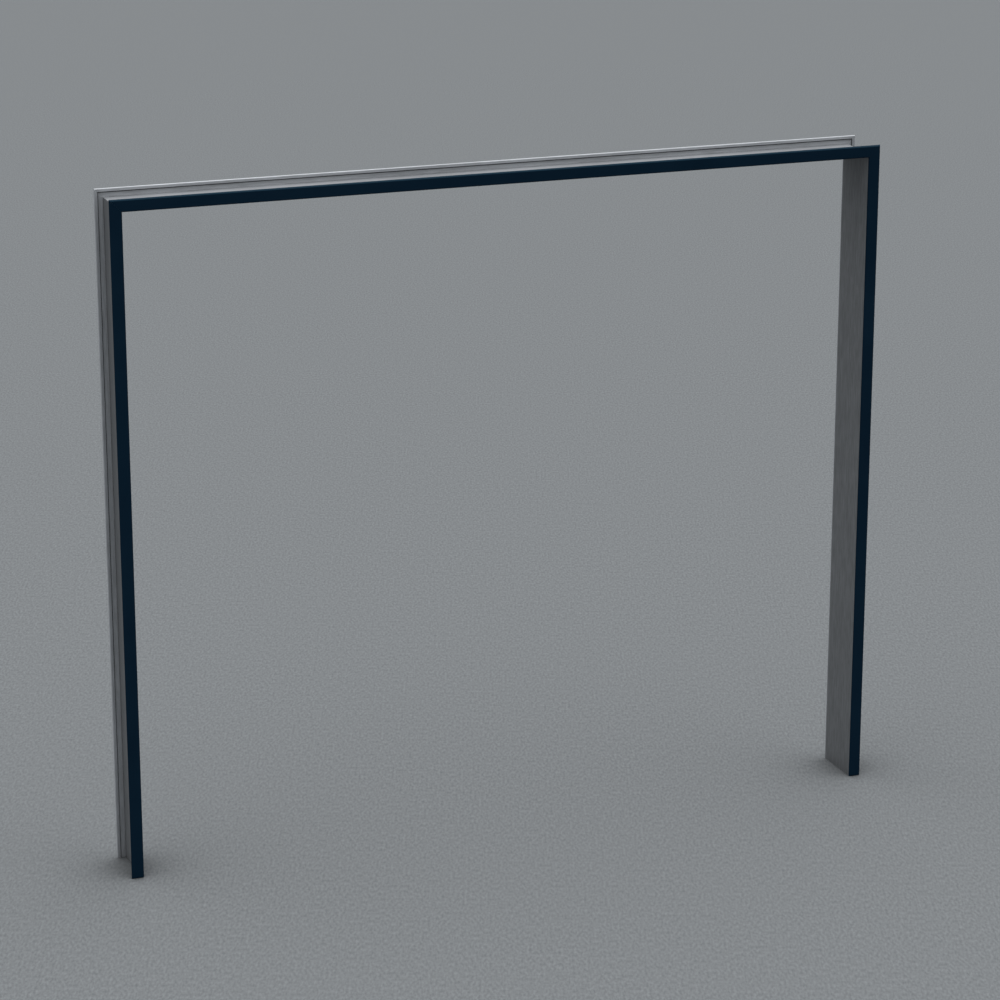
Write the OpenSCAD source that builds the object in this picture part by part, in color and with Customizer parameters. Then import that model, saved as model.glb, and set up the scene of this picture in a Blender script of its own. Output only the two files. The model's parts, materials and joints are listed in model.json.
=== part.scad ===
// Walk-through security portal: a U-shaped doorway lining with a painted front trim,
// a hollow sheet-metal web that holds the detection electronics, and an aluminium rear trim.
// Millimetres, +Z up, the front faces -Y, the right leg is on +X.
// Origin: floor level, in the middle of the walkway's width and of the frame's depth.

/* [Overall] */
// Overall width over the outer edges of both legs
overall_w = 2580; // [2000:10:3200]
// Overall height from the floor to the top edge
overall_h = 2200; // [2000:10:2600]
// Overall depth from the front face to the back face
overall_d = 193; // [190:1:260]

/* [Front trim] */
// Width of the trim's face on the legs and the head
trim_w = 40; // [38:1:60]
// Thickness of the front trim
trim_t = 6; // [6:0.5:9]
// Radius of the face's outer and inner edges
trim_r = 5; // [1:0.5:5]

/* [Rear trim] */
// Thickness of the rear trim's plate
rear_t = 4.5; // [4.5:0.5:7]
// Width of the raised rim along the outer edge
rim_w = 10; // [7:0.5:12]
// Height of the rim in front of the plate
rim_h = 3.5; // [2.5:0.5:6]
// Radius of the rim's outer front edge
rim_r = 2.5; // [1:0.5:2.5]
// Width of the shadow groove beside the rim
groove_w = 3; // [1:0.5:3]
// Depth of the shadow groove below the plate's face
groove_d = 3; // [0.5:0.5:3]

/* [Web] */
// Thickness of the hollow web, from the walkway face to the wall-side skin
web_t = 12; // [12:0.5:14]
// Thickness of the folded sheet
sheet = 1.5; // [1.5:0.1:1.6]

/* [Service hatch] */
// Length of the hatch door along the head
hatch_l = 400; // [380:10:440]
// Width of the hatch door across the head
hatch_w = 120; // [116:1:122]
// Gap around the door at its front and its ends
hatch_gap = 0.8; // [0.6:0.1:1.2]

/* [Fixings] */
// Diameter of the wall-fixing holes in the web's skin
wall_hole_d = 6.5; // [5:0.5:8]
// Diameter of the floor-dowel bores in the foot blocks
dowel_d = 5.5; // [4:0.5:6]
// Depth of the floor-dowel bores
dowel_depth = 40; // [20:1:50]

/* [Detail] */
// Smoothness of the round parts
$fn = 48; // [24:4:96]

/* [Hidden] */
// Planes of the frame. Names with _u are distances from the walkway face into the frame.
x_outer = overall_w / 2;     // outer edge of a leg
x_walk = x_outer - trim_w;   // walkway face of a leg
z_top = overall_h;
z_soffit = z_top - trim_w;   // the head's walkway face
y_front = -overall_d / 2;
y_back = overall_d / 2;
y_trim = y_front + trim_t;   // back of the front trim
y_plate = y_back - rear_t;   // front face of the rear plate
y_mid = (y_trim + y_plate) / 2;
skin_u = web_t - sheet;      // inner side of the skin
x_skin = x_walk + skin_u;
z_skin = z_soffit + skin_u;
screw_u = web_t / 2;         // line of the trim screws
web_edges = [[y_trim, 1], [y_plate, -1]];  // y, direction into the web

fit = 0.1;                   // assembly gap
slip = 0.05;                 // radial gap of a close round fit
mitre_gap = 0.1;             // half the gap at a mitre
over = 1;                    // how far a cut runs past a face

// Screws: shank radius, head radius, head height, key radius
trim_screw = [1.5, 2.75, 3, 1.25];
key_screw = [1.5, 2.75, 1.2, 1.0];
skin_screw = [2, 3.5, 2, 1.25];
board_screw = [1, 1.9, 1.2, 0.75];

// Evenly spaced heights on a leg, the same distance from floor and soffit
function leg_places(end_gap, spaces) =
    [for (i = [0:spaces]) end_gap + i * (z_soffit - 2 * end_gap) / spaces];

leg_screw_z = leg_places(110, 5);
leg_clip_z = leg_places(200, 4);
head_screw_x = [for (k = [-3:3]) k * 0.312 * x_walk];
head_clip_x = [-0.8, -0.48, -0.2, 0.2, 0.48, 0.8] * x_walk;
wall_pitch = 600;
head_wall_x = [for (i = [0:3]) (i - 1.5) * wall_pitch];
leg_wall_z = [for (x = head_wall_x) z_top / 2 + x];

// Positions shared by several sections
foot_screw_z = [15, 48];
cleat_l = 80;
cleat_y = [-50, 0];
pcb_t = 1.6;
standoff_h = 2;
tune_z = 1060;               // middle of the tuning boards
tune_half_w = 30;
tune_half_l = 60;
ctrl_half_l = 150;           // controller board, along X
harness_y = 20;
plug_gap = 0.2;              // between a wire and its board
hatch_end = hatch_l / 2;
hinge_y = hatch_w / 2 - 6;
rivet_x = hatch_end + 10;
rivet_y = hinge_y + 13;
rivet_r = 1.5;
unit_y = -20;                // sounder and lamp
sound_x = 420;
lamp_x = -420;
lamp_hole_r = 9;
lead_x = 240;                // where the supply lead leaves the head
lead_y = -10;
lead_z = z_skin - 4;
lead_r = 2;
grommet_r = 4.5;

navy = [0.03, 0.09, 0.15];
alu = [0.72, 0.73, 0.74];
rear_alu = [0.66, 0.67, 0.68];
dark_steel = [0.33, 0.33, 0.34];
zinc = [0.78, 0.78, 0.75];
black = [0.08, 0.08, 0.09];
grey = [0.45, 0.46, 0.48];
copper = [0.72, 0.42, 0.22];
board_green = [0.08, 0.32, 0.17];
button_red = [0.75, 0.1, 0.08];
rocker_red = [0.72, 0.08, 0.06];
ivory = [0.85, 0.85, 0.8];
lens_orange = [0.9, 0.35, 0.2];

// ---------- helpers ----------

// Points of one rounded corner; a radius below 1 becomes a plain chamfer
function corner(cx, cy, r, start) =
    r <= 0 ? [[cx, cy]] :
    let (steps = r < 1 ? 1 : 8)
    [for (i = [0:steps])
        [cx + r * cos(start + 90 * i / steps), cy + r * sin(start + 90 * i / steps)]];

// A rectangle whose four corners have their own radii, anticlockwise from the lower left
function rounded_rect(x0, y0, x1, y1, radii) = concat(
    corner(x0 + radii[0], y0 + radii[0], radii[0], 180),
    corner(x1 - radii[1], y0 + radii[1], radii[1], 270),
    corner(x1 - radii[2], y1 - radii[2], radii[2], 0),
    corner(x0 + radii[3], y1 - radii[3], radii[3], 90));

// Everything for a leg is drawn on the right and mirrored for the left (dir -1)
module side(dir) { if (dir < 0) mirror([1, 0, 0]) children(); else children(); }
module both_sides() { for (dir = [-1, 1]) side(dir) children(); }

// A box from its lowest to its highest corner
module box(low, high) { translate(low) cube(high - low); }

// A box about a vertical axis
module box_about(x, y, half_x, half_y, z0, z1) {
    box([x - half_x, y - half_y, z0], [x + half_x, y + half_y, z1]);
}

// A profile drawn as (u, y) and run up the right leg, or along the head
module up_leg(z0, z1) { translate([x_walk, 0, z0]) linear_extrude(z1 - z0) children(); }
module along_head(x0, x1) {
    translate([x1, 0, z_soffit]) rotate([0, -90, 0]) linear_extrude(x1 - x0) children();
}

// A shape drawn in the XZ plane with a depth along Y, or in the YZ plane with one along X
module xz_shape(y0, y1) { translate([0, y1, 0]) rotate([90, 0, 0]) linear_extrude(y1 - y0) children(); }
module yz_shape(x0, x1) { translate([x0, 0, 0]) rotate([90, 0, 90]) linear_extrude(x1 - x0) children(); }

// Cylinders along each axis
module rod_x(x0, x1, y, z, r) { translate([x0, y, z]) rotate([0, 90, 0]) cylinder(r = r, h = x1 - x0); }
module rod_y(x, y0, y1, z, r) { translate([x, y1, z]) rotate([90, 0, 0]) cylinder(r = r, h = y1 - y0); }
module rod_z(x, y, z0, z1, r) { translate([x, y, z0]) cylinder(r = r, h = z1 - z0); }

// The space a mitred leg or head may fill, larger than the frame on its free sides
space_over = 5;
mitre_over = 20;
module leg_space() {
    xz_shape(y_front - space_over, y_back + space_over) polygon([
        [x_walk - mitre_over, -space_over],
        [x_outer + mitre_over, -space_over],
        [x_outer + mitre_over, z_top + mitre_over - mitre_gap],
        [x_walk - mitre_over, z_soffit - mitre_over - mitre_gap]]);
}
module head_space() {
    xz_shape(y_front - space_over, y_back + space_over) polygon([
        [mitre_over - x_walk, z_soffit - mitre_over + mitre_gap],
        [x_walk - mitre_over, z_soffit - mitre_over + mitre_gap],
        [x_outer + mitre_over, z_top + mitre_over + mitre_gap],
        [-x_outer - mitre_over, z_top + mitre_over + mitre_gap]]);
}

// A profile run up the right leg or along the head and cut at the mitres
module mitred_leg(extra = 0) {
    intersection() {
        up_leg(0, z_top + extra) children();
        leg_space();
    }
}
module mitred_head(extra = 0) {
    intersection() {
        along_head(-x_outer - extra, x_outer + extra) children();
        head_space();
    }
}

// Cuts for the trim screws, from y0 to y1
module leg_screw_cuts(y0, y1, r) { for (z = leg_screw_z) rod_y(x_walk + screw_u, y0, y1, z, r); }
module head_screw_cuts(y0, y1, r) { for (x = head_screw_x) rod_y(x, y0, y1, z_soffit + screw_u, r); }

// Holes through the skin of the leg or head, and through the sheet at the soffit
module leg_skin_hole(y, z, r) { rod_x(x_skin - over, x_skin + sheet + over, y, z, r); }
module head_skin_hole(x, y, r) { rod_z(x, y, z_skin - over, z_skin + sheet + over, r); }
module soffit_hole(x, y, r) { rod_z(x, y, z_soffit - over, z_soffit + sheet + over, r); }

// A socket-head screw whose shank runs +Z from the head's underside
module socket_screw(screw, length) {
    head_h = screw[2];
    difference() {
        union() {
            cylinder(r = screw[0], h = length);
            translate([0, 0, -head_h]) cylinder(r = screw[1], h = head_h);
        }
        translate([0, 0, -head_h - 0.01]) cylinder(r = screw[3], h = head_h * 0.55 + 0.01, $fn = 6);
    }
}

// Screws put in through the skin from outside; grip is the length beyond the skin
module leg_skin_screw(y, z, grip) {
    translate([x_skin + sheet, y, z]) rotate([0, -90, 0]) socket_screw(skin_screw, sheet + grip);
}
module head_skin_screw(x, y, grip) {
    translate([x, y, z_skin + sheet]) rotate([180, 0, 0]) socket_screw(skin_screw, sheet + grip);
}

// ---------- corner keys, let into the back of the front trim ----------

key_w = 16;
key_l = 110;
key_t = 3;
key_u = 18;
key_mid = key_u + key_w / 2;
key_seat = key_screw[2] + fit;   // depth of the screw heads' seats
key_screw_l = 3.7;
key_steps = [14, 44, 74];        // screws along an arm, back from the corner
key_points = concat(
    [for (step = key_steps) [x_walk + key_mid, z_soffit + key_mid - step]],
    [for (step = key_steps) [x_walk + key_mid - step, z_soffit + key_mid]]);

// The key's L shape, grown all round
module key_shape(grow) {
    inner = key_u - grow;
    outer = key_u + key_w + grow;
    tip = key_u + key_w - key_l - grow;
    translate([x_walk, z_soffit]) polygon([
        [inner, tip], [outer, tip], [outer, outer],
        [tip, outer], [tip, inner], [inner, inner]]);
}

module key_pockets() {
    xz_shape(y_trim - key_t - fit, y_trim + over) key_shape(fit);
    for (p = key_points)
        rod_y(p[0], y_trim - key_seat - key_screw_l - fit, y_trim, p[1], key_screw[0] + slip);
}

module corner_key(dir) {
    color(zinc) side(dir) difference() {
        xz_shape(y_trim - key_t, y_trim) key_shape(0);
        for (p = key_points) {
            rod_y(p[0], y_trim - key_t - over, y_trim + over, p[1], key_screw[0] + fit);
            rod_y(p[0], y_trim - key_seat, y_trim + over, p[1], key_screw[1] + fit);
        }
    }
}
module corner_key_left() corner_key(-1);
module corner_key_right() corner_key(1);

module corner_key_screws() {
    color(zinc) both_sides() for (p = key_points)
        translate([p[0], y_trim - key_seat, p[1]]) rotate([90, 0, 0])
            socket_screw(key_screw, key_screw_l);
}

// ---------- front and rear trims ----------

edge_chamfer = 0.5;     // on the lesser edges
rear_r = 1.5;           // edges of the back face
rim_root = 2;           // the rim's block stops this far before the back face
trim_extra = 10;        // run past the frame before the mitre cuts it
front_bore = 4;         // depth of the screw bores
rear_bore = 3;
bore_spare = 0.2;       // bore left beyond a screw's end
trim_bore_r = trim_screw[0] + slip;

module front_profile() {
    polygon(rounded_rect(0, y_front, trim_w, y_trim, [trim_r, trim_r, edge_chamfer, edge_chamfer]));
}

module rear_profile() {
    rim_u = trim_w - rim_w;
    difference() {
        union() {
            polygon(rounded_rect(0, y_plate, trim_w, y_back, [edge_chamfer, 0, rear_r, rear_r]));
            polygon(rounded_rect(rim_u, y_plate - rim_h, trim_w, y_back - rim_root,
                [edge_chamfer, rim_r, 0, 0]));
        }
        translate([rim_u - groove_w, y_plate - over]) square([groove_w, groove_d + over]);
    }
}

module front_trim_leg(dir) {
    color(navy) side(dir) difference() {
        intersection() {
            mitred_leg(trim_extra) front_profile();
            // rounds the front edge at the floor
            yz_shape(x_walk - space_over, x_outer + space_over)
                polygon(rounded_rect(y_front, 0, y_trim, z_top + mitre_over,
                    [trim_r, edge_chamfer, 0, 0]));
        }
        leg_screw_cuts(y_trim - front_bore, y_trim + over, trim_bore_r);
        key_pockets();
    }
}
module front_trim_left() front_trim_leg(-1);
module front_trim_right() front_trim_leg(1);

module front_trim_head() {
    color(navy) difference() {
        mitred_head(trim_extra) front_profile();
        head_screw_cuts(y_trim - front_bore, y_trim + over, trim_bore_r);
        both_sides() key_pockets();
    }
}

module rear_trim_leg(dir) {
    color(rear_alu) side(dir) difference() {
        mitred_leg(trim_extra) rear_profile();
        leg_screw_cuts(y_plate - over, y_plate + rear_bore, trim_bore_r);
    }
}
module rear_trim_left() rear_trim_leg(-1);
module rear_trim_right() rear_trim_leg(1);

module rear_trim_head() {
    color(rear_alu) difference() {
        mitred_head(trim_extra) rear_profile();
        head_screw_cuts(y_plate - over, y_plate + rear_bore, trim_bore_r);
    }
}

// Screws that hold a trim to the web, from inside the cavity.
// y is the trim's face against the web; dir is -1 for the front trim.
module trim_screws(y, dir, bore) {
    module one_screw(x, z) {
        translate([x, y - dir * sheet, z]) rotate([-dir * 90, 0, 0])
            socket_screw(trim_screw, sheet + bore - bore_spare);
    }
    both_sides() for (z = leg_screw_z) one_screw(x_walk + screw_u, z);
    for (x = head_screw_x) one_screw(x, z_soffit + screw_u);
}
module front_trim_screws() { color(zinc) trim_screws(y_trim, -1, front_bore); }
module rear_trim_screws() { color(zinc) trim_screws(y_plate, 1, rear_bore); }

// ---------- web: a flat skin with an angle rail along each edge ----------

rail_foot = 9;
rail_hole_r = 1.7;
skin_hole_r = skin_screw[0] + fit;

module skin_profile() { translate([skin_u, y_trim]) square([sheet, y_plate - y_trim]); }

// Both rails: each flange carries a trim, each foot lies on the skin
module rail_profile() {
    for (edge = web_edges) {
        y = edge[0];
        foot_y = y + edge[1] * rail_foot;
        flange_y = y + edge[1] * sheet;
        polygon([
            [sheet + fit, y], [skin_u, y], [skin_u, foot_y],
            [skin_u - sheet, foot_y], [skin_u - sheet, flange_y], [sheet + fit, flange_y]]);
    }
}

module web_skin_leg(dir) {
    color(alu) side(dir) difference() {
        mitred_leg() skin_profile();
        for (z = leg_wall_z) leg_skin_hole(y_mid, z, wall_hole_d / 2);
        for (z = foot_screw_z) leg_skin_hole(0, z, skin_hole_r);
        for (y = cleat_y) leg_skin_hole(y, z_skin - cleat_l / 2, skin_hole_r);
    }
}
module web_skin_left() web_skin_leg(-1);
module web_skin_right() web_skin_leg(1);

module web_skin_head() {
    color(alu) difference() {
        mitred_head() skin_profile();
        for (x = head_wall_x) head_skin_hole(x, y_mid, wall_hole_d / 2);
        both_sides() for (y = cleat_y) head_skin_hole(x_skin - cleat_l / 2, y, skin_hole_r);
        head_skin_hole(lead_x, lead_y, grommet_r + slip);
    }
}

module web_rails_leg(dir) {
    color(alu) side(dir) difference() {
        mitred_leg() rail_profile();
        leg_screw_cuts(y_trim - over, y_trim + sheet + over, rail_hole_r);
        leg_screw_cuts(y_plate - sheet - over, y_plate + over, rail_hole_r);
    }
}
module web_rails_left() web_rails_leg(-1);
module web_rails_right() web_rails_leg(1);

module web_rails_head() {
    color(alu) difference() {
        mitred_head() rail_profile();
        head_screw_cuts(y_trim - over, y_trim + sheet + over, rail_hole_r);
        head_screw_cuts(y_plate - sheet - over, y_plate + over, rail_hole_r);
    }
}

// ---------- corner cleats inside the web ----------

cleat_t = 3;
cleat_half_w = 70;
skin_bore_r = skin_screw[0] + slip;

module corner_cleats() {
    color(grey) both_sides() difference() {
        xz_shape(-cleat_half_w, cleat_half_w) polygon([
            [x_skin - cleat_l, z_skin], [x_skin - cleat_l, z_skin - cleat_t],
            [x_skin - cleat_t, z_skin - cleat_t], [x_skin - cleat_t, z_skin - cleat_l],
            [x_skin, z_skin - cleat_l], [x_skin, z_skin]]);
        for (y = cleat_y) {
            rod_x(x_skin - cleat_t - over, x_skin + over, y, z_skin - cleat_l / 2, skin_bore_r);
            rod_z(x_skin - cleat_l / 2, y, z_skin - cleat_t - over, z_skin + over, skin_bore_r);
        }
    }
}

module corner_cleat_screws() {
    color(zinc) both_sides() for (y = cleat_y) {
        leg_skin_screw(y, z_skin - cleat_l / 2, cleat_t);
        head_skin_screw(x_skin - cleat_l / 2, y, cleat_t);
    }
}

// ---------- foot blocks ----------

foot_h = 60;
foot_half_w = 75;
dowel_y = 55;
foot_bore = 6;
foot_grip = 5.5;        // length of the screws in the block

module foot_block(dir) {
    x0 = x_walk + sheet + fit;
    color(grey) side(dir) difference() {
        box([x0, -foot_half_w, 0], [x_skin, foot_half_w, foot_h]);
        for (y = [-dowel_y, dowel_y]) rod_z((x0 + x_skin) / 2, y, -over, dowel_depth, dowel_d / 2);
        for (z = foot_screw_z) rod_x(x_skin - foot_bore, x_skin + over, 0, z, skin_bore_r);
    }
}
module foot_block_left() foot_block(-1);
module foot_block_right() foot_block(1);

module foot_block_screws() {
    color(zinc) both_sides() for (z = foot_screw_z) leg_skin_screw(0, z, foot_grip);
}

// ---------- liners on the walkway faces ----------

liner_gap = 0.15;       // beside each trim
hatch_back_gap = 1.2;
sound_hole_r = 1.5;
sound_ring_r = 7;

module liner_profile() {
    translate([0, y_trim + liner_gap]) square([sheet, y_plate - y_trim - 2 * liner_gap]);
}

module liner_leg(dir) { color(dark_steel) side(dir) mitred_leg() liner_profile(); }
module liner_left() liner_leg(-1);
module liner_right() liner_leg(1);

module liner_head() {
    color(dark_steel) difference() {
        mitred_head() liner_profile();
        box([-hatch_end - hatch_gap, -hatch_w / 2 - hatch_gap, z_soffit - over],
            [hatch_end + hatch_gap, hatch_w / 2 + hatch_back_gap, z_soffit + sheet + over]);
        soffit_hole(sound_x, unit_y, sound_hole_r);
        for (a = [0:60:300])
            soffit_hole(sound_x + sound_ring_r * cos(a), unit_y + sound_ring_r * sin(a), sound_hole_r);
        soffit_hole(lamp_x, unit_y, lamp_hole_r);
        both_sides() soffit_hole(rivet_x, rivet_y, rivet_r + slip);
    }
}

// Angle tabs welded to a liner's back, and the spring clips that hold them
tab_u = 7;              // end of the flange beside the rail
tab_foot = 8;
tab_foot_t = 1;
tab_half_l = 10;
clip_half_l = 7;
// Clip section: u from the rail foot's face, distance into the web
clip_outline = [[0, 0], [0, 4], [-3, 4], [-6.1, 1.6], [-6.1, 0.2], [-5.5, 0]];

module tab_profile() {
    for (edge = web_edges) {
        dir = edge[1];
        foot_u = sheet + tab_foot_t;
        translate([0, edge[0] + dir * (sheet + fit)]) polygon([
            [sheet, 0], [tab_u, 0], [tab_u, dir * sheet],
            [foot_u, dir * sheet], [foot_u, dir * tab_foot], [sheet, dir * tab_foot]]);
    }
}

// A clip stands on a rail's foot and bears on the tab
module clip_profile() {
    for (edge = web_edges)
        translate([skin_u - sheet, edge[0] + edge[1] * (2 * sheet + fit + slip)])
            polygon([for (p = clip_outline) [p[0], edge[1] * p[1]]]);
}

// Short lengths of a profile at every clip place
module at_leg_clips(half_l) { for (z = leg_clip_z) up_leg(z - half_l, z + half_l) children(); }
module at_head_clips(half_l) { for (x = head_clip_x) along_head(x - half_l, x + half_l) children(); }

module liner_tabs_leg(dir) { color(dark_steel) side(dir) at_leg_clips(tab_half_l) tab_profile(); }
module liner_tabs_left() liner_tabs_leg(-1);
module liner_tabs_right() liner_tabs_leg(1);
module liner_tabs_head() { color(dark_steel) at_head_clips(tab_half_l) tab_profile(); }

module liner_clips_leg(dir) { color(black) side(dir) at_leg_clips(clip_half_l) clip_profile(); }
module liner_clips_left() liner_clips_leg(-1);
module liner_clips_right() liner_clips_leg(1);
module liner_clips_head() { color(black) at_head_clips(clip_half_l) clip_profile(); }

// ---------- antenna loops ----------

coil_y = 75;            // outer half width
coil_z0 = 260;
coil_z1 = z_soffit - 300;
coil_s = 5;             // width of the strip
coil_t = 3;
coil_r = 30;
coil_x1 = x_skin - 0.5;
coil_x0 = coil_x1 - coil_t;
coil_mid_y = coil_y - coil_s / 2;
coil_clip_z = [420, 760, 1240, 1560];
coil_clip_h = 6;        // off the skin
coil_clip_half_w = 4.5;
coil_clip_half_l = 6;

module loop_shape(inset) {
    r = coil_r - inset;
    polygon(rounded_rect(-coil_y + inset, coil_z0 + inset, coil_y - inset, coil_z1 - inset,
        [r, r, r, r]));
}

module antenna_coil(dir) {
    color(copper) side(dir) {
        difference() {
            yz_shape(coil_x0, coil_x1) loop_shape(0);
            yz_shape(coil_x0 - over, coil_x1 + over) loop_shape(coil_s);
        }
        // two flat leads to the tuning board
        for (z = [tune_z - 12, tune_z + 8])
            box([coil_x0 + 0.5, -coil_y + coil_s - 1, z],
                [coil_x0 + 2, -tune_half_w - plug_gap, z + 4]);
    }
}
module antenna_coil_left() antenna_coil(-1);
module antenna_coil_right() antenna_coil(1);

module coil_clips(dir) {
    slot_half_w = coil_s / 2 + fit;
    slot_half_l = coil_clip_half_l + over;
    color(black) side(dir) for (z = coil_clip_z) for (y = [-coil_mid_y, coil_mid_y]) difference() {
        box([x_skin - coil_clip_h, y - coil_clip_half_w, z - coil_clip_half_l],
            [x_skin, y + coil_clip_half_w, z + coil_clip_half_l]);
        box([coil_x0 - fit, y - slot_half_w, z - slot_half_l],
            [coil_x1 + fit, y + slot_half_w, z + slot_half_l]);
    }
}
module coil_clips_left() coil_clips(-1);
module coil_clips_right() coil_clips(1);

// ---------- boards ----------

part_sink = 0.2;        // how far parts reach into their board
board_hole_r = board_screw[0] + fit;
standoff_r = 2.5;
standoff_floor = 0.2;   // left closed at the skin

tune_x1 = x_skin - standoff_h;
tune_x0 = tune_x1 - pcb_t;
tune_holes = [for (y = [-25, 25]) for (z = [-55, 55]) [y, tune_z + z]];
// Columns: y0, y1, z0 and z1 from the board's middle, height
tune_parts = concat(
    [for (z = [-36, -22, -8]) [-20, 12, z, z + 9, 2.6]],       // capacitors
    [[harness_y - 6, harness_y + 1, 50, tune_half_l, 3],       // harness socket
     [-tune_half_w, -23, -14, 14, 2.4]]);                      // coil socket
trimmer_z = tune_z + 22;
trimmer_r = 7;
trimmer_h = 3;

ctrl_y0 = -38;
ctrl_y1 = 42;
ctrl_z1 = z_skin - standoff_h;
ctrl_z0 = ctrl_z1 - pcb_t;
ctrl_holes = [
    for (x = [-ctrl_half_l + 10, ctrl_half_l - 10]) for (y = [ctrl_y0 + 6, ctrl_y1 - 6]) [x, y]];
button_x = 60;
button_y = 20;
button_hole_r = 1.5;
// Columns: x0, x1, y0, y1, height
ctrl_parts = concat(
    [[-16, 12, -14, 14, 1.2]],                                 // processor
    [for (x = [-112, -88, -64]) [x, x + 16, -24, 4, 2.4]],     // power stages
    [[80, 112, -26, 6, 3.2]],                                  // transformer
    [for (x = [26, 38, 50]) [x, x + 8, -22, -14, 1]],          // three small blocks
    [for (x = [-ctrl_half_l, ctrl_half_l - 10])                // harness sockets
        [x, x + 10, harness_y - 6, harness_y + 3, 3.4]],
    [[button_x - 3, button_x + 3, button_y - 3, button_y + 3, 2.5]]);  // button housing

module tuning_board(dir) {
    color(board_green) side(dir) difference() {
        union() {
            box([tune_x0, -tune_half_w, tune_z - tune_half_l],
                [tune_x1, tune_half_w, tune_z + tune_half_l]);
            for (p = tune_parts)
                box([tune_x0 - p[4], p[0], tune_z + p[2]],
                    [tune_x0 + part_sink, p[1], tune_z + p[3]]);
            rod_x(tune_x0 - trimmer_h, tune_x0 + part_sink, 0, trimmer_z, trimmer_r);
        }
        for (p = tune_holes) rod_x(tune_x0 - over, tune_x1 + over, p[0], p[1], board_hole_r);
        // slot of the trimmer
        box([tune_x0 - trimmer_h - 0.1, -5, trimmer_z - 0.6],
            [tune_x0 - trimmer_h + 0.8, 5, trimmer_z + 0.6]);
    }
}
module tuning_board_left() tuning_board(-1);
module tuning_board_right() tuning_board(1);

module controller_board() {
    color(board_green) difference() {
        union() {
            box([-ctrl_half_l, ctrl_y0, ctrl_z0], [ctrl_half_l, ctrl_y1, ctrl_z1]);
            for (p = ctrl_parts)
                box([p[0], p[2], ctrl_z0 - p[4]], [p[1], p[3], ctrl_z0 + part_sink]);
            // row of round parts
            for (x = [-104, -86, -68, -50]) rod_z(x, 24, ctrl_z0 - 3, ctrl_z0 + part_sink, 6);
        }
        for (p = ctrl_holes) rod_z(p[0], p[1], ctrl_z0 - over, ctrl_z1 + over, board_hole_r);
        rod_z(button_x, button_y, ctrl_z0 - 3, ctrl_z0 - 0.6, button_hole_r);
    }
}

module test_button() {
    color(button_red)
        rod_z(button_x, button_y, ctrl_z0 - 3.5, ctrl_z0 - 1.2, button_hole_r - slip);
}

module board_standoffs() {
    bore_r = board_screw[0] + slip;
    color(zinc) {
        for (p = ctrl_holes) difference() {
            rod_z(p[0], p[1], ctrl_z1, z_skin, standoff_r);
            rod_z(p[0], p[1], ctrl_z1 - over, z_skin - standoff_floor, bore_r);
        }
        both_sides() for (p = tune_holes) difference() {
            rod_x(tune_x1, x_skin, p[0], p[1], standoff_r);
            rod_x(tune_x1 - over, x_skin - standoff_floor, p[0], p[1], bore_r);
        }
    }
}

module board_screws() {
    length = pcb_t + standoff_h - 0.3;
    color(zinc) {
        for (p = ctrl_holes) translate([p[0], p[1], ctrl_z0]) socket_screw(board_screw, length);
        both_sides() for (p = tune_holes)
            translate([tune_x0, p[0], p[1]]) rotate([0, 90, 0]) socket_screw(board_screw, length);
    }
}

module terminal_block() {
    x1 = 186;
    color(grey) difference() {
        box([160, -25, z_skin - 6.5], [x1, 5, z_skin]);
        // screw wells from below, wire entries from the +X end
        for (y = [-20, -10, 0]) {
            rod_z(168, y, z_skin - 7, z_skin - 3, 2);
            rod_x(176, x1 + over, y, lead_z, lead_r + fit);
        }
    }
}

// ---------- switches ----------

rocker_x = -181;
rocker_y = -8;
rocker_z = z_skin - 4.9;
rocker_tilt = 8;
axle_r = 0.8;
// Rocker section in XZ, about its axle
rocker_outline = [
    [-8, -1.2], [-7.4, -1.5], [0, -0.9], [7.4, -1.5], [8, -1.2],
    [8, 0.9], [3, 2], [-3, 2], [-8, 0.9]];
tamper_y = -hatch_w / 2 + 9;
plunger_r = 1.5;

module isolator_body() {
    color(black) difference() {
        box_about(rocker_x, rocker_y, 11, 8, z_skin - 6.1, z_skin);
        box_about(rocker_x, rocker_y, 9, 6, z_skin - 7, z_skin - 1.5);
        rod_y(rocker_x, rocker_y - 7.6, rocker_y + 7.6, rocker_z, axle_r + slip);
    }
}

module isolator_rocker() {
    color(rocker_red) translate([rocker_x, rocker_y, rocker_z]) rotate([0, rocker_tilt, 0]) {
        xz_shape(-5.5, 5.5) polygon(rocker_outline);
        rod_y(0, -7.5, 7.5, 0, axle_r);
    }
}

module tamper_switch() {
    color(black) difference() {
        box_about(0, tamper_y, 8, 6, z_skin - 6, z_skin);
        rod_z(0, tamper_y, z_skin - 7, z_skin - 1.8, plunger_r + slip);
    }
}
module tamper_plunger() {
    color(ivory) rod_z(0, tamper_y, z_soffit + sheet + 0.15, z_skin - 3.5, plunger_r);
}

// ---------- service hatch in the soffit, hinged at the back ----------

hinge_z = z_soffit + sheet + 2;
hinge_top = hinge_z + 3.5;      // top of the ears and brackets
pin_r = 1.5;
ear_x0 = hatch_end - 7;
ear_x1 = hatch_end - 5;
bracket_x = hatch_end + 2;
bracket_t = 1.5;
bracket_back = hinge_y + 18;
foot_top = z_soffit + 2 * sheet; // top of the brackets' feet
lock_x = 120;
lock_y = -hatch_w / 2 + 12;
lock_r = 5;
cam_l = 13;
cam_r = 4;

module service_hatch() {
    color(dark_steel) difference() {
        union() {
            box([-hatch_end, -hatch_w / 2, z_soffit], [hatch_end, hatch_w / 2, z_soffit + sheet]);
            // hinge ears
            both_sides() box([ear_x0, hinge_y - 4, z_soffit + sheet / 2],
                             [ear_x1, hinge_y + 4, hinge_top]);
        }
        both_sides() rod_x(ear_x0 - over, ear_x1 + over, hinge_y, hinge_z, pin_r + slip);
        both_sides() soffit_hole(lock_x, lock_y, lock_r + slip);
    }
}

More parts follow.
